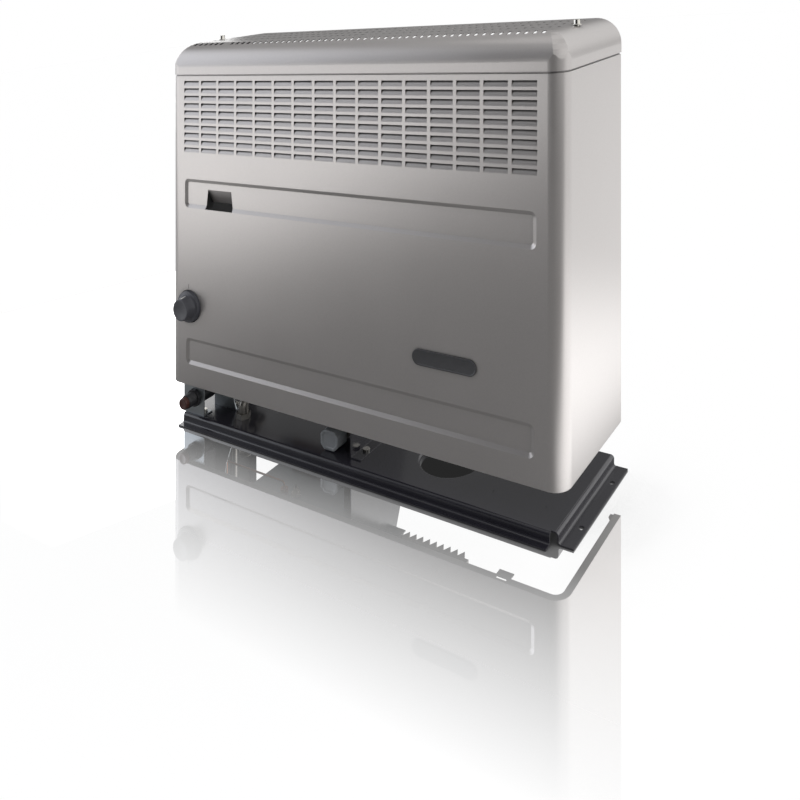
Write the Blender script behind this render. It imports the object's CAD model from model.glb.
"""Gas space heater: finishes, turned and moulded details, and a pale studio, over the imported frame."""

import math

import bmesh
import bpy
from mathutils import Matrix, Vector


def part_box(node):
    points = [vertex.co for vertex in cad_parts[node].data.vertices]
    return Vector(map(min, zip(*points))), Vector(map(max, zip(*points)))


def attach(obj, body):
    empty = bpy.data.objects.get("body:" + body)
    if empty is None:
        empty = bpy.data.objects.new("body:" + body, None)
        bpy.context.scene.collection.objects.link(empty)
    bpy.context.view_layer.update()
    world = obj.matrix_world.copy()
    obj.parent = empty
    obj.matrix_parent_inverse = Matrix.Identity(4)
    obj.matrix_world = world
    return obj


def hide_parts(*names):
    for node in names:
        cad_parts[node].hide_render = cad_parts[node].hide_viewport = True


bl_info = {
    "name": "Gas Space Heater",
    "version": (1, 0, 0),
    "blender": (4, 5, 0),
    "location": "View3D > Sidebar > Heater",
    "description": "Finishes and details of a louvred gas space heater",
    "category": "Object",
}

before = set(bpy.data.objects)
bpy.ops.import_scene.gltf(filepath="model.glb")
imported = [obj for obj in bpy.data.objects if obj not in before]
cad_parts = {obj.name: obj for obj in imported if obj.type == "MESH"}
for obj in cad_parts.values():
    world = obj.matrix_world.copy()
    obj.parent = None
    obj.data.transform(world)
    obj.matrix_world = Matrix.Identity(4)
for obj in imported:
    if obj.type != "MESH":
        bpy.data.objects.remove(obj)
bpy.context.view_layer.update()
MM = 0.001


def middle(node):
    """The centre of a CAD node's box."""
    low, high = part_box(node)
    return (low + high) / 2


CASING_LOW, CASING_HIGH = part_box("casing")
FRONT = CASING_LOW.y
KNOB_AXIS = middle("knob")
IGNITER_AXIS = middle("igniter_button")


# ---------------------------------------------------------------- materials


def linear(code):
    """Turns an sRGB hex colour into the linear RGBA that shaders use."""
    parts = [int(code[i : i + 2], 16) / 255 for i in (1, 3, 5)]
    return tuple(c / 12.92 if c <= 0.04045 else ((c + 0.055) / 1.055) ** 2.4 for c in parts) + (1.0,)


def wire(tree, node, inputs):
    """Gives each named input of the node its value, or the socket that feeds it."""
    for name, value in inputs.items():
        if isinstance(value, bpy.types.NodeSocket):
            tree.links.new(value, node.inputs[name])
        else:
            node.inputs[name].default_value = value


def add(tree, kind, inputs=None, **settings):
    """Adds a node. Settings are its own properties, and the inputs are wired."""
    node = tree.nodes.new(kind)
    for name, value in settings.items():
        setattr(node, name, value)
    wire(tree, node, inputs or {})
    return node


def blank_material(name, edge=0.4 * MM):
    """A material with an empty Principled shader, object coordinates, and a normal rounded at the edges."""
    material = bpy.data.materials.new(name)
    material.use_nodes = True
    tree = material.node_tree
    tree.nodes.clear()
    shader = add(tree, "ShaderNodeBsdfPrincipled")
    add(tree, "ShaderNodeOutputMaterial", {"Surface": shader.outputs["BSDF"]})
    place = add(tree, "ShaderNodeTexCoord").outputs["Object"]
    normal = add(tree, "ShaderNodeBevel", {"Radius": edge}, samples=4).outputs["Normal"] if edge else None
    return material, tree, shader, place, normal


def tinted(tree, code, shift, pattern):
    """The colour, made up to a share darker and lighter by a pattern from 0 to 1."""
    shades = add(tree, "ShaderNodeValToRGB", {"Fac": pattern})
    for element, share in zip(shades.color_ramp.elements, (1 - shift, 1 + shift)):
        element.color = tuple(min(1, c * share) for c in linear(code)[:3]) + (1,)
    return shades.outputs["Color"]


def ranged(tree, pattern, low, high):
    """A pattern from 0 to 1 spread between two values."""
    return add(tree, "ShaderNodeMapRange", {"Value": pattern, "To Min": low, "To Max": high}).outputs["Result"]


def noise(tree, place, size, detail=2.0, stretch=None):
    """Noise whose features are about size metres across, stretched along an axis where asked."""
    if stretch:
        place = add(tree, "ShaderNodeMapping", {"Vector": place, "Scale": stretch}).outputs["Vector"]
    return add(tree, "ShaderNodeTexNoise", {"Vector": place, "Scale": 1 / size, "Detail": detail}).outputs["Fac"]


def bump(tree, height, depth, normal=None):
    """A bump whose height runs over depth metres."""
    inputs = {"Height": height, "Strength": 1.0, "Distance": depth}
    if normal:
        inputs["Normal"] = normal
    return add(tree, "ShaderNodeBump", inputs).outputs["Normal"]


def ramp(tree, value, start, end, level):
    """Rises smoothly from 0 at the start value to a level at the end value."""
    return add(tree, "ShaderNodeMapRange", {"Value": value, "From Min": start, "From Max": end, "To Min": 0.0,
                                            "To Max": level}, interpolation_type="SMOOTHSTEP").outputs["Result"]


def mix(tree, factor, a, b, kind="FLOAT"):
    """One value or colour at a factor of 0, the other at 1."""
    return add(tree, "ShaderNodeMix", {"Factor": factor, "A": a, "B": b}, data_type=kind).outputs["Result"]


def compute(tree, operation, *terms):
    """The result of one Math node."""
    return add(tree, "ShaderNodeMath", dict(enumerate(terms)), operation=operation).outputs["Value"]


def total(tree, *terms):
    """The sum of the terms."""
    value = terms[0]
    for term in terms[1:]:
        value = compute(tree, "ADD", value, term)
    return value


def product(tree, *factors):
    """The product of the factors."""
    value = factors[0]
    for factor in factors[1:]:
        value = compute(tree, "MULTIPLY", value, factor)
    return value


def turned_inwards(tree, place):
    """1 on the faces that look into the cover, 0 on its outside. A face that looks forwards is always outside,
    because the bands' edges face the cover's centre too."""
    arm = add(tree, "ShaderNodeVectorMath", {0: place, 1: (CASING_LOW + CASING_HIGH) / 2}, operation="SUBTRACT")
    facing = add(tree, "ShaderNodeNewGeometry").outputs["True Normal"]
    reach = add(tree, "ShaderNodeVectorMath", {0: arm.outputs["Vector"], 1: facing}, operation="DOT_PRODUCT")
    inwards = compute(tree, "LESS_THAN", reach.outputs["Value"], -2 * MM)
    backwards = add(tree, "ShaderNodeSeparateXYZ", {"Vector": facing}).outputs["Y"]
    return product(tree, inwards, compute(tree, "GREATER_THAN", backwards, -0.2))


def metallic_powder_coat(code):
    """Satin powder coat with aluminium flake, sprayed and baked: flake sparkle over a faint orange peel, a little
    darker in grooves and seams. The flake is drawn at 0.7 mm, coarser than the real 0.05 mm, so that it shows at
    all. Inside, the cover has only its matt dark primer."""
    material, tree, shader, place, normal = blank_material("satin_metallic_powder_coat", 0.6 * MM)
    inside = turned_inwards(tree, place)
    flake = add(tree, "ShaderNodeTexVoronoi", {"Vector": place, "Scale": 1 / (0.7 * MM)}).outputs["Color"]
    sparkle = add(tree, "ShaderNodeSeparateColor", {"Color": flake}).outputs["Red"]
    cloud = noise(tree, place, 90 * MM)
    peel = noise(tree, place, 2.2 * MM, 1.0)
    grain = total(tree, ranged(tree, sparkle, 0, 0.5), ranged(tree, cloud, 0, 0.5))
    primer = tinted(tree, "#262627", 0.1, cloud)
    colour = mix(tree, inside, tinted(tree, code, 0.06, grain), primer, "RGBA")
    seams = add(tree, "ShaderNodeAmbientOcclusion", {"Distance": 7 * MM, "Color": colour}, samples=6)
    wire(tree, shader, {
        "Base Color": seams.outputs["Color"],
        "Metallic": ranged(tree, inside, 0.6, 0.0),
        "Roughness": mix(tree, inside, ranged(tree, cloud, 0.28, 0.34), 0.8),
        "Normal": bump(tree, peel, 0.012 * MM, normal),
        "Coat Weight": ranged(tree, inside, 0.12, 0.0),
        "Coat Roughness": 0.25,
    })
    return material


def black_stove_enamel():
    """Black stove enamel on sheet steel, dipped and fired: semi-gloss, slightly wavy, dulled by dust in patches."""
    material, tree, shader, place, normal = blank_material("black_stove_enamel", 0.7 * MM)
    dust = noise(tree, place, 45 * MM, 6.0)
    wave = noise(tree, place, 9 * MM, 1.0)
    wire(tree, shader, {
        "Base Color": tinted(tree, "#27262D", 0.3, dust),
        "Roughness": ranged(tree, dust, 0.13, 0.28),
        "Specular IOR Level": 0.6,
        "Normal": bump(tree, wave, 0.02 * MM, normal),
        "Coat Weight": 0.35,
        "Coat Roughness": 0.12,
    })
    return material


def zinc_plated_sheet():
    """Bright zinc-plated sheet steel, rolled: fine rolling lines, pale blue-grey, with duller cloudy passivation."""
    material, tree, shader, place, normal = blank_material("zinc_plated_sheet")
    cloud = noise(tree, place, 30 * MM, 4.0)
    lines = noise(tree, place, 1.2 * MM, 2.0, (0.04, 1, 1))
    wire(tree, shader, {
        "Base Color": tinted(tree, "#A3A8AB", 0.12, cloud),
        "Metallic": 1.0,
        "Roughness": ranged(tree, cloud, 0.28, 0.46),
        "Normal": bump(tree, lines, 0.01 * MM, normal),
    })
    return material


def drawn_steel():
    """Plain drawn steel of pipes and fittings: oiled, fairly dark, with drawing marks and a hint of rust bloom."""
    material, tree, shader, place, normal = blank_material("drawn_steel")
    bloom = noise(tree, place, 14 * MM, 5.0)
    marks = noise(tree, place, 0.8 * MM, 2.0, (1, 1, 0.1))
    wire(tree, shader, {
        "Base Color": tinted(tree, "#8E8B86", 0.16, bloom),
        "Metallic": 1.0,
        "Roughness": ranged(tree, bloom, 0.3, 0.5),
        "Normal": bump(tree, marks, 0.01 * MM, normal),
    })
    return material


def aluminised_steel():
    """Aluminised steel that has been hot: matt grey spangle, browned by heat towards the burner below."""
    material, tree, shader, place, normal = blank_material("aluminised_steel")
    spangle = add(tree, "ShaderNodeTexVoronoi", {"Vector": place, "Scale": 1 / (7 * MM)}).outputs["Distance"]
    cloud = noise(tree, place, 60 * MM, 5.0)
    height = add(tree, "ShaderNodeSeparateXYZ", {"Vector": place}).outputs["Z"]
    heat = add(tree, "ShaderNodeMapRange",
               {"Value": height, "From Min": 0.3, "From Max": 0.1, "To Min": 0.0, "To Max": 0.55}).outputs["Result"]
    steel = tinted(tree, "#8A8C8D", 0.12, cloud)
    wire(tree, shader, {
        "Base Color": mix(tree, heat, steel, linear("#6A5A4C"), "RGBA"),
        "Metallic": 1.0,
        "Roughness": ranged(tree, spangle, 0.42, 0.58),
        "Normal": bump(tree, cloud, 0.04 * MM, normal),
    })
    return material


def die_cast_zinc():
    """Zinc alloy die casting, shot-blasted: even matt grey with a fine grit texture."""
    material, tree, shader, place, normal = blank_material("die_cast_zinc", 0.8 * MM)
    grit = noise(tree, place, 0.9 * MM, 3.0)
    cloud = noise(tree, place, 25 * MM, 3.0)
    wire(tree, shader, {
        "Base Color": tinted(tree, "#96989A", 0.1, cloud),
        "Metallic": 0.85,
        "Roughness": 0.55,
        "Normal": bump(tree, grit, 0.05 * MM, normal),
    })
    return material


def turned_brass():
    """Brass, turned on a lathe: bright yellow metal with fine rings round its axis."""
    material, tree, shader, place, normal = blank_material("turned_brass", 0.3 * MM)
    rings = noise(tree, place, 0.5 * MM, 1.0, (0.1, 1, 0.1))
    tarnish = noise(tree, place, 8 * MM, 4.0)
    wire(tree, shader, {
        "Base Color": tinted(tree, "#B8965A", 0.12, tarnish),
        "Metallic": 1.0,
        "Roughness": ranged(tree, tarnish, 0.22, 0.38),
        "Normal": bump(tree, rings, 0.008 * MM, normal),
    })
    return material


def drawn_copper():
    """Copper tube, drawn and a little tarnished: warm red-brown with darker patches."""
    material, tree, shader, place, normal = blank_material("drawn_copper", 0.2 * MM)
    tarnish = noise(tree, place, 12 * MM, 5.0)
    wire(tree, shader, {
        "Base Color": tinted(tree, "#B4734B", 0.25, tarnish),
        "Metallic": 1.0,
        "Roughness": ranged(tree, tarnish, 0.25, 0.45),
        "Normal": normal,
    })
    return material


def moulded_thermoset(name, code, rough, grain_size=0.8 * MM):
    """Thermoset or nylon moulding: solid colour, fine spark-eroded grain, edges worn a touch smoother."""
    material, tree, shader, place, normal = blank_material(name, 0.5 * MM)
    grain = noise(tree, place, grain_size, 2.0)
    handling = noise(tree, place, 11 * MM, 3.0)
    wire(tree, shader, {
        "Base Color": tinted(tree, code, 0.1, handling),
        "Roughness": ranged(tree, handling, rough - 0.06, rough + 0.08),
        "Normal": bump(tree, grain, 0.012 * MM, normal),
    })
    return material


def glazed_ceramic():
    """Alumina ceramic with a clear glaze: cream white, smooth and glossy."""
    material, tree, shader, place, normal = blank_material("glazed_ceramic", 0.4 * MM)
    cloud = noise(tree, place, 6 * MM, 3.0)
    wire(tree, shader, {
        "Base Color": tinted(tree, "#E8E2D4", 0.04, cloud),
        "Roughness": 0.12,
        "Coat Weight": 0.5,
        "Normal": normal,
    })
    return material


def mineral_fibre():
    """Pressed mineral-fibre gasket: off-white, matt, with fibres about 2 mm long."""
    material, tree, shader, place, _ = blank_material("mineral_fibre", 0)
    fibres = noise(tree, place, 1.5 * MM, 6.0, (0.3, 1, 1))
    wire(tree, shader, {
        "Base Color": tinted(tree, "#CFC8B8", 0.15, fibres),
        "Roughness": 0.95,
        "Normal": bump(tree, fibres, 0.2 * MM),
    })
    return material


def nickel_plate():
    """Bright nickel plate on small screws: mirror-like, faintly warm, dulled by handling."""
    material, tree, shader, place, normal = blank_material("nickel_plate", 0.3 * MM)
    smear = noise(tree, place, 5 * MM, 4.0)
    wire(tree, shader, {
        "Base Color": tinted(tree, "#C9C6BF", 0.08, smear),
        "Metallic": 1.0,
        "Roughness": ranged(tree, smear, 0.16, 0.34),
        "Normal": normal,
    })
    return material


def printed_ink(name, code):
    """Screen-printed ink: flat colour with a slightly broken, absorbent surface."""
    material, tree, shader, place, _ = blank_material(name, 0)
    speck = noise(tree, place, 0.5 * MM, 3.0)
    wire(tree, shader, {
        "Base Color": tinted(tree, code, 0.08, speck),
        "Roughness": ranged(tree, speck, 0.5, 0.7),
        "Normal": bump(tree, speck, 0.005 * MM),
    })
    return material


def give_finish(node, material):
    """Gives a CAD node one material in place of its own."""
    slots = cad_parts[node].data.materials
    slots.clear()
    slots.append(material)


# ---------------------------------------------------------------- modelling


def select_all():
    """In edit mode, selects the whole mesh."""
    bpy.ops.mesh.select_all(action="SELECT")


def shift_by(x, y, z):
    """Moves what is selected."""
    bpy.ops.transform.translate(value=(x, y, z))


def extrude_by(x, y, z):
    """Extrudes what is selected, and moves it."""
    bpy.ops.mesh.extrude_region_move(TRANSFORM_OT_translate={"value": (x, y, z)})


def face_outwards():
    """Turns every face of the closed shape outwards."""
    select_all()
    bpy.ops.mesh.normals_make_consistent(inside=False)


def start(name, primitive, **settings):
    """Adds a primitive with nothing else selected and leaves it in edit mode, all selected."""
    if bpy.context.mode != "OBJECT":
        bpy.ops.object.mode_set(mode="OBJECT")
    bpy.ops.object.select_all(action="DESELECT")
    primitive(**settings)
    piece = bpy.context.object
    piece.name = piece.data.name = name
    bpy.ops.object.mode_set(mode="EDIT")
    select_all()
    return piece


def pick(piece, test, kind="faces"):
    """In edit mode, selects the faces, edges or vertices that pass the test."""
    mode = {"faces": "FACE", "edges": "EDGE", "verts": "VERT"}[kind]
    bpy.ops.mesh.select_mode(type=mode)
    bpy.ops.mesh.select_all(action="DESELECT")
    mesh = bmesh.from_edit_mesh(piece.data)
    for item in getattr(mesh, kind):
        if test(item):
            item.select_set(True)
    mesh.select_flush_mode()
    bmesh.update_edit_mesh(piece.data)


def finish(piece, material, body, slot, *replaced):
    """Leaves edit mode, puts the object's place into its mesh, shades it, and hands it to its body."""
    if bpy.context.mode != "OBJECT":
        bpy.ops.object.mode_set(mode="OBJECT")
    bpy.ops.object.select_all(action="DESELECT")
    piece.select_set(True)
    bpy.context.view_layer.objects.active = piece
    bpy.ops.object.transform_apply(location=True, rotation=True, scale=True)
    bpy.ops.object.shade_smooth_by_angle(angle=math.radians(38))
    piece.data.materials.clear()
    piece.data.materials.append(material)
    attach(piece, body)
    if replaced:
        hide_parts(*replaced)


def turn_profile(name, profile, x, z, steps=96):
    """Turns a profile round an axis along Y, as on a lathe. It is a list of (radius, y) points in metres, from the
    axis outwards and back to the axis, or round to its first point where the piece is hollow."""
    piece = start(name, bpy.ops.mesh.primitive_plane_add, size=MM, location=(0, 0, 0))
    bpy.ops.mesh.merge(type="CENTER")
    shift_by(*profile[0], 0)
    for near, far in zip(profile, profile[1:]):
        extrude_by(far[0] - near[0], far[1] - near[1], 0)
    select_all()
    bpy.ops.mesh.spin(steps=steps, angle=math.tau, center=(0, 0, 0), axis=(0, 1, 0))
    select_all()
    bpy.ops.mesh.remove_doubles(threshold=0.002 * MM)
    face_outwards()
    shift_by(x, 0, z)
    return piece


def soften(piece, width, segments=3, angle=30):
    """Bevels every edge sharper than the angle and applies the bevel."""
    bpy.ops.object.mode_set(mode="OBJECT")
    bevel = piece.modifiers.new("soft_edges", "BEVEL")
    bevel.width = width
    bevel.segments = segments
    bevel.limit_method = "ANGLE"
    bevel.angle_limit = math.radians(angle)
    bpy.ops.object.modifier_apply(modifier=bevel.name)


# ---------------------------------------------------------------- settings


class HeaterCover(bpy.types.PropertyGroup):
    paint: bpy.props.FloatVectorProperty(name="Paint", description="Colour of the cover's metallic powder coat",
                                         size=3, subtype="COLOR_GAMMA", min=0, max=1, default=(0.704, 0.692, 0.682))
    tick_length: bpy.props.FloatProperty(name="Tick length", description="Length of the printed tick over the knob",
                                         default=6 * MM, subtype="DISTANCE", unit="LENGTH")
    tick_width: bpy.props.FloatProperty(name="Tick width", description="Width of the printed tick over the knob",
                                        default=0.9 * MM, subtype="DISTANCE", unit="LENGTH")


class HeaterKnob(bpy.types.PropertyGroup):
    grip: bpy.props.FloatProperty(name="Grip", description="Diameter of the grip at its end",
                                  default=29.5 * MM, subtype="DISTANCE", unit="LENGTH")
    root: bpy.props.FloatProperty(name="Root", description="Diameter of the grip where it leaves the skirt",
                                  default=33 * MM, subtype="DISTANCE", unit="LENGTH")
    skirt: bpy.props.FloatProperty(name="Skirt", description="Diameter of the skirt",
                                   default=42 * MM, subtype="DISTANCE", unit="LENGTH")
    line_width: bpy.props.FloatProperty(name="Line width", description="Width of the white pointer line",
                                        default=1.6 * MM, subtype="DISTANCE", unit="LENGTH")


class HeaterIgniter(bpy.types.PropertyGroup):
    thread_pitch: bpy.props.FloatProperty(name="Thread pitch", description="Distance between the barrel's threads",
                                          default=1.5 * MM, subtype="DISTANCE", unit="LENGTH")
    ridges: bpy.props.IntProperty(name="Ridges", description="Number of grip ridges round the ring nut",
                                  default=24, min=8, max=48)


class HeaterStudio(bpy.types.PropertyGroup):
    fill_power: bpy.props.FloatProperty(name="Fill power", description="Power of the overhead lamp",
                                        default=3, unit="POWER")
    rear_power: bpy.props.FloatProperty(name="Rear power", description="Power of the softbox at the rear left",
                                        default=2.5, unit="POWER")


# ---------------------------------------------------------------- pieces


class HEATER_OT_cover(bpy.types.Operator):
    """Paint the casing and lid, and print the tick over the knob"""

    bl_idname = "heater.cover"
    bl_label = "Cover"

    def execute(self, context):
        settings = context.scene.heater_cover
        code = "#" + "".join(f"{round(c * 255):02x}" for c in settings.paint)
        paint = metallic_powder_coat(code)
        for node in ("casing", "lid", "corner_gussets"):
            give_finish(node, paint)
        ink, gap = 0.025 * MM, 0.005 * MM
        tick = start("dial_tick", bpy.ops.mesh.primitive_plane_add, size=1,
                     location=(KNOB_AXIS.x - 1.5 * MM, FRONT - ink - gap, KNOB_AXIS.z + 26.4 * MM),
                     rotation=(math.pi / 2, 0, 0))
        bpy.ops.transform.resize(value=(settings.tick_width, 1, settings.tick_length))
        extrude_by(0, ink, 0)
        face_outwards()
        finish(tick, printed_ink("grey_print", "#5C5B5A"), "cover", "knob_plastic")
        return {"FINISHED"}


class HEATER_OT_knob(bpy.types.Operator):
    """Turn the gas knob with its skirt, tapered grip and dished end, and lay in the white pointer line"""

    bl_idname = "heater.knob"
    bl_label = "Knob"

    def execute(self, context):
        settings = context.scene.heater_knob
        grip, root, skirt = settings.grip / 2, settings.root / 2, settings.skirt / 2
        low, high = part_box("knob")
        end, back = low.y, high.y
        hub, bore, bore_end = 7 * MM, 3 * MM, FRONT - 6.2 * MM
        rise, foot, wall = FRONT - 4 * MM, FRONT + 2 * MM, 2 * MM
        dish_depth, dish_steps = 1.6 * MM, 6
        dish = [(grip - 2 * MM) * i / dish_steps for i in range(dish_steps + 1)]
        profile = [(r, end + dish_depth * (1 - (r / dish[-1]) ** 2)) for r in dish]
        profile += [
            (grip - 1.3 * MM, end), (grip - 0.6 * MM, end + 0.15 * MM), (grip - 0.15 * MM, end + 0.6 * MM),
            (grip, end + 1.3 * MM), (root - 0.6 * MM, rise - 3.5 * MM), (root, rise - 1.6 * MM),
            (root + 0.5 * MM, rise - 0.8 * MM), (root + 1.4 * MM, rise - 0.35 * MM), (skirt - 1.3 * MM, rise),
            (skirt - 0.5 * MM, rise + 0.2 * MM), (skirt - 0.12 * MM, rise + 0.6 * MM), (skirt, rise + 1.2 * MM),
            (skirt, foot - 0.2 * MM), (skirt - 0.3 * MM, foot), (skirt - wall, foot), (skirt - wall, rise + 2 * MM),
            (hub, rise + 2.4 * MM), (hub, back), (bore, back), (bore, bore_end), (0, bore_end),
        ]
        piece = turn_profile("gas_knob", profile, KNOB_AXIS.x, KNOB_AXIS.z)
        finish(piece, moulded_thermoset("moulded_anthracite", "#494A50", 0.4), "knob", "knob_plastic", "knob")

        line = start("knob_pointer", bpy.ops.mesh.primitive_cube_add, size=1, location=(0, 0, 0))
        bpy.ops.transform.resize(value=(settings.line_width, 10.2 * MM, 1.2 * MM))
        pick(line, lambda v: v.co.y > 0, "verts")
        shift_by(0, 0, root - grip - 0.5 * MM)
        select_all()
        shift_by(KNOB_AXIS.x, end + 6.4 * MM, KNOB_AXIS.z + grip - 0.25 * MM)
        soften(line, 0.25 * MM, 2)
        finish(line, printed_ink("white_filling", "#E9E8E4"), "knob", "knob_plastic")
        return {"FINISHED"}


class HEATER_OT_igniter(bpy.types.Operator):
    """Turn the igniter's threaded barrel and red-brown button, and ridge its ring nut"""

    bl_idname = "heater.igniter"
    bl_label = "Igniter"

    def execute(self, context):
        settings = context.scene.heater_igniter
        x, z = IGNITER_AXIS.x, IGNITER_AXIS.z
        black = moulded_thermoset("moulded_black_nylon", "#2A2A2D", 0.34)

        low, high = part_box("igniter_barrel")
        mouth, end = low.y, high.y
        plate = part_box("igniter_bracket")[0].y
        plate_back = plate + 1.5 * MM
        r, bore, collar, rod_bore = 9 * MM, 7.55 * MM, 11 * MM, 3.05 * MM
        bore_end, chamfer, thread_depth = mouth + 20 * MM, 0.5 * MM, 0.45 * MM
        pitch = settings.thread_pitch
        turns = int((plate - mouth - 1 * MM) / pitch)
        profile = [(bore, bore_end), (bore, mouth + chamfer), (bore + 0.4 * MM, mouth), (r - 0.5 * MM, mouth)]
        for i in range(turns):
            y = mouth + chamfer + i * pitch
            profile += [(r - thread_depth, y), (r, y + 0.45 * pitch), (r, y + 0.55 * pitch)]
        profile += [(r - thread_depth, mouth + chamfer + turns * pitch), (r, plate + 0.2 * MM), (r, plate_back),
                    (collar, plate_back), (collar, end - 1 * MM), (collar - 1 * MM, end), (rod_bore, end),
                    (rod_bore, bore_end), (bore, bore_end)]
        piece = turn_profile("igniter_sleeve", profile, x, z, 64)
        finish(piece, black, "base", "igniter_plastic", "igniter_barrel")

        low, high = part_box("igniter_button")
        r, rod, shoulder = 7.5 * MM, 3 * MM, low.y + 14 * MM
        dished_face = ((0, 0.9), (2.5, 0.8), (4.4, 0.45), (5.6, 0.05), (6.2, 0), (6.9, 0.12), (7.35, 0.55), (7.5, 1.2))
        profile = [(across * MM, low.y + along * MM) for across, along in dished_face]
        profile += [(r, shoulder), (rod, shoulder), (rod, high.y), (0, high.y)]
        piece = turn_profile("igniter_push", profile, x, z, 64)
        red_brown = moulded_thermoset("red_brown_nylon", "#4E302B", 0.3)
        finish(piece, red_brown, "button", "button_plastic", "igniter_button")

        low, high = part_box("ring_nut")
        facets = 2 * settings.ridges
        valley, bore = (high.x - low.x) / 2 - 0.7 * MM, 9.05 * MM

        def ridge(face):
            """True for every second face of the nut's outer side."""
            spot = face.calc_center_median()
            outer_side = abs(face.normal.z) < 0.5 and spot.xy.length > 10 * MM
            return outer_side and round(math.atan2(spot.y, spot.x) / math.tau * facets) % 2 == 0

        nut = start("barrel_ring_nut", bpy.ops.mesh.primitive_cylinder_add, vertices=facets, radius=valley,
                    depth=high.y - low.y, location=(0, 0, 0), end_fill_type="NGON")
        pick(nut, lambda f: abs(f.normal.z) > 0.5)
        bpy.ops.mesh.inset(thickness=valley - bore, depth=0)
        bpy.ops.mesh.bridge_edge_loops()
        pick(nut, ridge)
        bpy.ops.mesh.inset(thickness=0.25 * MM, depth=0.55 * MM, use_individual=True)
        face_outwards()
        soften(nut, 0.3 * MM, 2, 50)
        nut.rotation_euler = (math.pi / 2, 0, 0)
        nut.location = (x, (low.y + high.y) / 2, z)
        finish(nut, black, "base", "igniter_plastic", "ring_nut")
        return {"FINISHED"}


class HEATER_OT_lid_screws(bpy.types.Operator):
    """Model the two slotted screws on washers that hold the lid"""

    bl_idname = "heater.lid_screws"
    bl_label = "Lid screws"

    def execute(self, context):
        low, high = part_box("lid_screws")
        plate = nickel_plate()
        y = (low.y + high.y) / 2
        washer, head, shank = (high.y - low.y) / 2, 3.5 * MM, 2 * MM
        washer_t, head_h = 1 * MM, 5 * MM
        seat = high.z - washer_t - head_h
        for side, x in (("left", low.x + washer), ("right", high.x - washer)):
            screw = start("lid_screw_" + side, bpy.ops.mesh.primitive_cylinder_add, vertices=48, radius=washer,
                          depth=washer_t, location=(0, 0, washer_t / 2), end_fill_type="NGON")
            pick(screw, lambda f: f.normal.z > 0.5)
            bpy.ops.mesh.inset(thickness=washer - head, depth=0)
            extrude_by(0, 0, head_h)
            pick(screw, lambda f: f.normal.z > 0.5 and f.calc_center_median().z > head_h)
            bpy.ops.mesh.inset(thickness=0.7 * MM, depth=0)
            pick(screw, lambda f: f.normal.z < -0.5)
            bpy.ops.mesh.inset(thickness=washer - shank, depth=0)
            extrude_by(0, 0, low.z - seat)
            soften(screw, 0.35 * MM, 3, 40)
            slot_cutter = start("slot_" + side, bpy.ops.mesh.primitive_cube_add, size=1, location=(0, 0, 0))
            bpy.ops.transform.resize(value=(9 * MM, 1 * MM, 3 * MM))
            shift_by(0, 0, washer_t + head_h)
            bpy.ops.object.mode_set(mode="OBJECT")
            bpy.context.view_layer.objects.active = screw
            cut = screw.modifiers.new("driver_slot", "BOOLEAN")
            cut.operation = "DIFFERENCE"
            cut.object = slot_cutter
            bpy.ops.object.modifier_apply(modifier=cut.name)
            bpy.data.objects.remove(slot_cutter)
            screw.location = (x, y, seat)
            replaced = ("lid_screws",) if side == "left" else ()
            finish(screw, plate, "cover", "bright_fixing", *replaced)
        return {"FINISHED"}


class HEATER_OT_badge(bpy.types.Operator):
    """Mould the oval badge plate with its raised rim"""

    bl_idname = "heater.badge"
    bl_label = "Badge plate"

    def execute(self, context):
        low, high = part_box("badge_plate")
        width, depth, height = high - low
        badge = start("blank_badge", bpy.ops.mesh.primitive_cylinder_add, vertices=64, radius=height / 2, depth=depth,
                      location=(0, 0, 0), end_fill_type="NGON")
        for sign in (1, -1):
            pick(badge, lambda v: v.co.x * sign > 0.01 * MM, "verts")
            shift_by(sign * (width - height) / 2, 0, 0)
        pick(badge, lambda f: f.normal.z > 0.9)
        bpy.ops.mesh.inset(thickness=1.3 * MM, depth=0)
        bpy.ops.mesh.inset(thickness=0.35 * MM, depth=-0.4 * MM)
        soften(badge, 0.25 * MM, 3, 25)
        badge.rotation_euler = (math.pi / 2, 0, 0)
        badge.location = middle("badge_plate")
        anthracite = moulded_thermoset("moulded_badge_plate", "#48484A", 0.38)
        finish(badge, anthracite, "cover", "badge_plastic", "badge_plate")
        return {"FINISHED"}


class HEATER_OT_air_cap(bpy.types.Operator):
    """Model the eight-sided cap of the air elbow with its rounded edges and shallow face"""

    bl_idname = "heater.air_cap"
    bl_label = "Air cap"

    def execute(self, context):
        low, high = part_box("air_elbow_cap")
        size = high - low
        corner_cut = size.x * 0.22
        cap = start("air_cap", bpy.ops.mesh.primitive_cube_add, size=1, location=(0, 0, 0))
        bpy.ops.transform.resize(value=size)
        pick(cap, lambda e: abs(e.verts[0].co.y - e.verts[1].co.y) > 1 * MM, "edges")
        bpy.ops.mesh.bevel(offset=corner_cut, segments=1, affect="EDGES")
        pick(cap, lambda f: f.normal.y < -0.9)
        bpy.ops.mesh.inset(thickness=3 * MM, depth=0)
        bpy.ops.mesh.inset(thickness=0.8 * MM, depth=-1 * MM)
        soften(cap, 0.6 * MM, 3, 30)
        cap.location = middle("air_elbow_cap")
        finish(cap, moulded_thermoset("moulded_grey_cap", "#8A8D90", 0.4), "base", "grey_cap", "air_elbow_cap")
        return {"FINISHED"}


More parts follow.
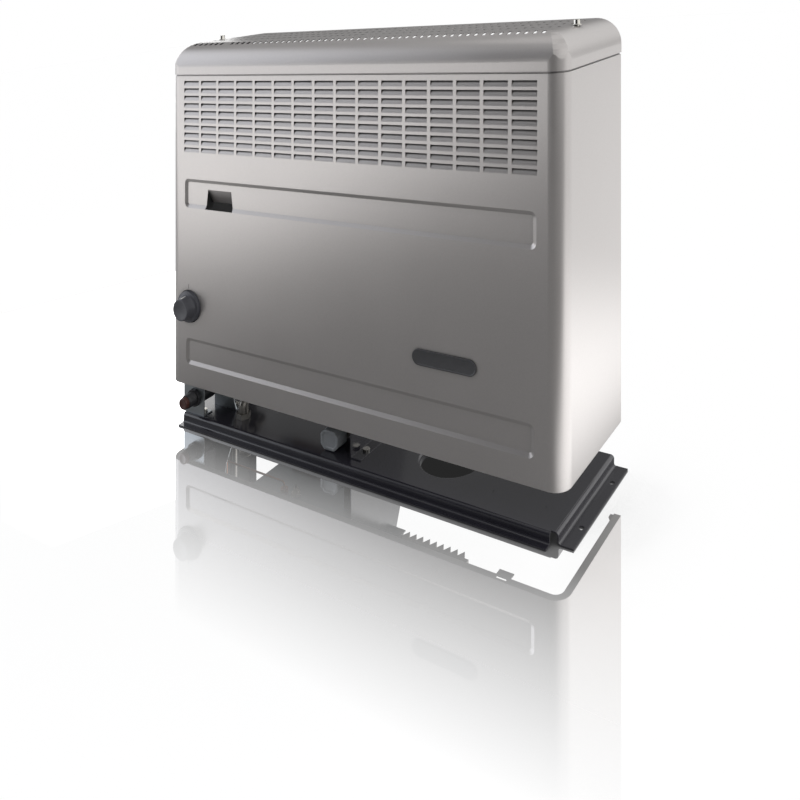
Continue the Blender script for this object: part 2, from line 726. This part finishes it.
class HEATER_OT_works(bpy.types.Operator):
    """Give the tray and every part of the works its finish"""

    bl_idname = "heater.works"
    bl_label = "Tray and works"

    def execute(self, context):
        finishes = {
            black_stove_enamel(): ("base_tray", "support_leg"),
            zinc_plated_sheet(): ("lid_brackets", "valve_bracket", "igniter_bracket", "burner_box", "heat_shield",
                                  "cross_rail"),
            drawn_steel(): ("inlet_elbow", "inlet_pipe", "pipe_nuts", "feed_pipe", "spark_electrode", "rail_clips"),
            aluminised_steel(): ("burner_tube", "air_elbow", "exchanger_front", "exchanger_rear", "flue_spigot"),
            die_cast_zinc(): ("gas_valve",),
            turned_brass(): ("spindle_bush", "spindle", "injector"),
            drawn_copper(): ("thermocouple", "sensor_bulb"),
            glazed_ceramic(): ("electrode_insulator",),
            mineral_fibre(): ("seam_gasket",),
            nickel_plate(): ("bracket_screws", "seam_bolts"),
        }
        for material, nodes in finishes.items():
            for node in nodes:
                give_finish(node, material)
        return {"FINISHED"}


# ---------------------------------------------------------------- studio


def backdrop_world(scene):
    """White to the camera. To the object it is a dim room with a bright wall on the right, a large soft window on
    the left, and some light from above and behind."""
    world = bpy.data.worlds.new("pale_studio")
    scene.world = world
    world.use_nodes = True
    tree = world.node_tree
    tree.nodes.clear()
    rays = add(tree, "ShaderNodeLightPath").outputs
    place = add(tree, "ShaderNodeTexCoord").outputs["Generated"]
    way = add(tree, "ShaderNodeSeparateXYZ", {"Vector": place}).outputs

    def patch(turn, rise, outer, inner, level):
        """A round bright patch: its direction's turn and rise, its outer and inner radius in degrees, its level."""
        turn, rise = math.radians(turn), math.radians(rise)
        aim = (math.cos(rise) * math.cos(turn), math.cos(rise) * math.sin(turn), math.sin(rise))
        near = add(tree, "ShaderNodeVectorMath", {0: place, 1: aim}, operation="DOT_PRODUCT").outputs["Value"]
        return ramp(tree, near, math.cos(math.radians(outer)), math.cos(math.radians(inner)), level)

    def light(colour, level):
        """A background of one colour."""
        return add(tree, "ShaderNodeBackground", {"Color": (*colour, 1), "Strength": level}).outputs[0]

    seen = compute(tree, "MAXIMUM", rays["Is Camera Ray"], rays["Is Singular Ray"])
    seen = compute(tree, "MAXIMUM", seen, rays["Is Transmission Ray"])
    right_wall = ramp(tree, way["X"], 0.28, 1.0, 1.38)
    ceiling = ramp(tree, way["Z"], 0.37, 0.8, 0.4)
    rear_wall = ramp(tree, way["Y"], 0.0, 0.7, 0.22)
    rear_lamp = patch(66, 32, 38, 12, 0.9)
    room = mix(tree, seen, total(tree, right_wall, ceiling, rear_wall, rear_lamp), 1.0)
    window = mix(tree, seen, patch(200, 13, 39, 13, 1.9), 0.0)
    white, pale_blue = (1, 1, 1), (0.96, 1.0, 1.08)
    sky = add(tree, "ShaderNodeAddShader", {0: light(white, room), 1: light(pale_blue, window)})
    add(tree, "ShaderNodeOutputWorld", {"Surface": sky.outputs[0]})


def glossy_white_floor():
    """White lacquered table: mirrors what stands on it, less and less with the distance in front of it. To the
    object it is bright beside the right-hand side and far off on the left, and dim in front."""
    material, tree, _, place, _ = blank_material("white_lacquer_table", 0)
    tree.nodes.remove(tree.nodes["Principled BSDF"])
    to_camera = add(tree, "ShaderNodeLightPath").outputs["Is Camera Ray"]
    across = add(tree, "ShaderNodeSeparateXYZ", {"Vector": place}).outputs
    x, y = across["X"], across["Y"]

    # what the table gives to the object
    beside = product(tree, ramp(tree, x, 0.28, 0.4, 1.0), ramp(tree, y, -0.35, -0.05, 1.0))
    spot = add(tree, "ShaderNodeVectorMath", {0: place, 1: (0.5, 0, 0)}, operation="DISTANCE").outputs["Value"]
    close_by = product(tree, beside, ramp(tree, spot, 0.77, 0.2, 1.25))
    far_left = product(tree, ramp(tree, x, -0.6, -0.9, 1.0), ramp(tree, y, -0.4, -0.85, 1.75))
    left = ramp(tree, x, -0.25, -0.75, 0.35)
    given = total(tree, 0.2, product(tree, beside, 0.97), close_by, far_left, left)

    # what the camera sees: white, shaded near the object, black under the tray's panel
    low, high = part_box("base_tray")
    centre, half = (low + high) / 2, (high - low) / 2
    within_x = compute(tree, "COMPARE", x, centre.x, half.x - 25 * MM)
    within_y = compute(tree, "COMPARE", y, centre.y, half.y - 5 * MM)
    outside = ranged(tree, product(tree, within_x, within_y), 1.0, 0.0)
    open_sky = add(tree, "ShaderNodeAmbientOcclusion", {"Distance": 0.14}, samples=8).outputs["AO"]
    seen = total(tree, 0.02, product(tree, outside, ramp(tree, open_sky, 0.15, 0.97, 1.08)))
    glow = add(tree, "ShaderNodeEmission", {"Strength": mix(tree, to_camera, given, seen)})
    chalk = add(tree, "ShaderNodeBsdfDiffuse", {"Color": (0.8, 0.8, 0.8, 1)})
    outside_seen = product(tree, to_camera, outside)
    matt = add(tree, "ShaderNodeMixShader", {
        0: product(tree, outside_seen, 0.2), 1: glow.outputs[0], 2: chalk.outputs[0]})

    # the mirror, which fades towards the front and is shaded beside the right-hand side
    fade = add(tree, "ShaderNodeMapRange", {"Value": y, "From Min": -0.325, "From Max": -0.095, "To Min": 0.0,
                                            "To Max": 0.85}).outputs["Result"]
    shade = mix(tree, ramp(tree, x, 0.27, 0.31, 1.0), 1.0, ramp(tree, open_sky, 0.1, 0.95, 1.0))
    mirror = add(tree, "ShaderNodeBsdfGlossy", {"Color": shade, "Roughness": 0.0})
    table = add(tree, "ShaderNodeMixShader", {
        0: product(tree, fade, outside_seen), 1: matt.outputs[0], 2: mirror.outputs[0]})
    tree.links.new(table.outputs[0], tree.nodes["Material Output"].inputs["Surface"])
    return material


def softbox(name, place, target, size, power):
    """A square area lamp at a place, facing a target."""
    lamp = bpy.data.lights.new(name, "AREA")
    lamp.shape = "SQUARE"
    lamp.size = size
    lamp.energy = power
    holder = bpy.data.objects.new(name, lamp)
    bpy.context.scene.collection.objects.link(holder)
    holder.location = place
    holder.rotation_euler = (Vector(target) - Vector(place)).to_track_quat("-Z", "Y").to_euler()


def studio_camera(scene):
    """The photograph's view: its uprights are parallel and its horizon leans, as with a tilted and shifted lens, so
    the camera hangs from a rig whose axes aren't square."""
    turn, lean, drop = 0.608875, -0.087902, 0.49978
    eye = (0.629355, -0.859130, 0.581489)
    focal_pixels, picture_pixels, sensor = 948.661, 800, 36
    side = Vector((math.cos(turn), math.sin(turn), lean)).normalized()
    back = Vector((math.sin(turn), -math.cos(turn), drop)).normalized()
    skewed = Matrix((side, (0, 0, 1), back)).transposed().to_4x4()
    skewed.translation = eye
    rig = bpy.data.objects.new("camera_rig", None)
    scene.collection.objects.link(rig)
    lens = bpy.data.cameras.new("studio_camera")
    lens.sensor_width = sensor
    lens.lens = focal_pixels * sensor / picture_pixels
    lens.clip_start, lens.clip_end = 0.02, 100
    camera = bpy.data.objects.new("studio_camera", lens)
    scene.collection.objects.link(camera)
    camera.parent = rig
    camera.matrix_parent_inverse = skewed
    scene.camera = camera


class HEATER_OT_studio(bpy.types.Operator):
    """Set up the white table, the soft light and the camera"""

    bl_idname = "heater.studio"
    bl_label = "Studio"

    def execute(self, context):
        scene = context.scene
        settings = scene.heater_studio
        scene.view_settings.view_transform = "Standard"
        backdrop_world(scene)
        below = -0.4 * MM
        floor = start("studio_floor", bpy.ops.mesh.primitive_plane_add, size=14, location=(0, 0, below))
        bpy.ops.object.mode_set(mode="OBJECT")
        floor.data.materials.append(glossy_white_floor())
        softbox("top_fill", (0.2, -0.2, 1.6), (0, 0, 0.3), 1.2, settings.fill_power)
        softbox("rear_fill", (-1.3, 0.6, 0.5), (0, 0, 0.25), 0.6, settings.rear_power)
        studio_camera(scene)
        return {"FINISHED"}


class HEATER_PT_panel(bpy.types.Panel):
    """The heater's pieces, in the order that they are made"""

    bl_label = "Gas space heater"
    bl_idname = "HEATER_PT_panel"
    bl_space_type = "VIEW_3D"
    bl_region_type = "UI"
    bl_category = "Heater"

    def draw(self, context):
        for step in STEPS:
            self.layout.operator(step.bl_idname)
        for name in GROUPS:
            box = self.layout.box()
            group = getattr(context.scene, name)
            for key in group.__annotations__:
                box.prop(group, key)


STEPS = (HEATER_OT_cover, HEATER_OT_knob, HEATER_OT_igniter, HEATER_OT_lid_screws, HEATER_OT_badge, HEATER_OT_air_cap,
         HEATER_OT_works, HEATER_OT_studio)
GROUPS = {"heater_cover": HeaterCover, "heater_knob": HeaterKnob, "heater_igniter": HeaterIgniter,
          "heater_studio": HeaterStudio}
CLASSES = (*GROUPS.values(), *STEPS, HEATER_PT_panel)


def register():
    for cls in CLASSES:
        bpy.utils.register_class(cls)
    for name, cls in GROUPS.items():
        setattr(bpy.types.Scene, name, bpy.props.PointerProperty(type=cls))


def unregister():
    for name in GROUPS:
        delattr(bpy.types.Scene, name)
    for cls in reversed(CLASSES):
        bpy.utils.unregister_class(cls)


def main():
    register()
    bpy.ops.heater.cover()
    bpy.ops.heater.knob()
    bpy.ops.heater.igniter()
    bpy.ops.heater.lid_screws()
    bpy.ops.heater.badge()
    bpy.ops.heater.air_cap()
    bpy.ops.heater.works()
    bpy.ops.heater.studio()


if __name__ == "__main__":
    main()
